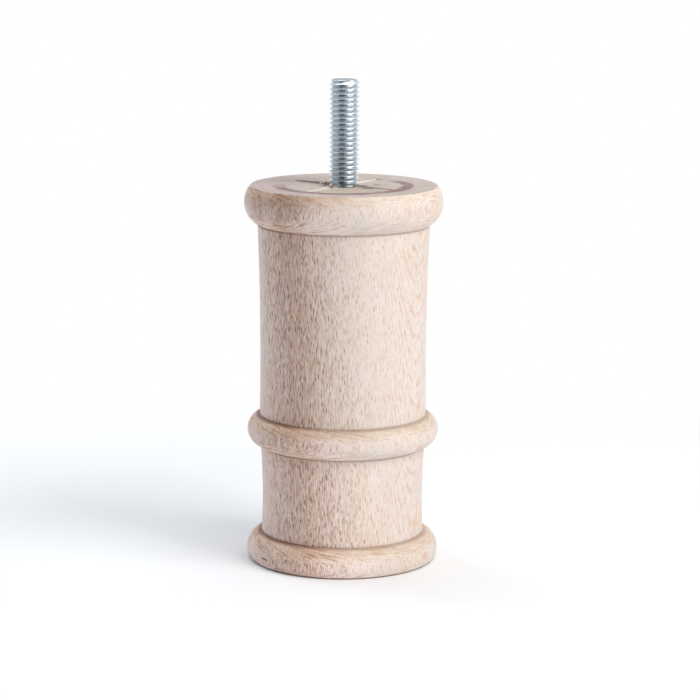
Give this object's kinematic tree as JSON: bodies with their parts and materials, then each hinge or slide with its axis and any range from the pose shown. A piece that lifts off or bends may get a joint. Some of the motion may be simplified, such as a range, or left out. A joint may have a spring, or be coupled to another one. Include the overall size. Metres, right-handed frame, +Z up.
{
  "type": "turned wooden furniture leg with hanger bolt",
  "caption": "Turned wooden furniture leg with beads and a waisted barrel, screwed under furniture by the threaded steel stud in its top.",
  "frame": {"origin": "centre of the foot's underside, on the floor", "axes": "+Z up the turning axis, out of the foot and along the stud; X and Y are equal"},
  "size_m": [0.052, 0.052, 0.127],
  "materials": {
    "wood": "raw turned beech, sanded, no lacquer",
    "bolt_steel": "bright zinc plating with a bluish tint"
  },
  "bodies": {
    "root": {"turned_leg": "wood", "hanger_bolt": "bolt_steel"}
  },
  "joints": []
}
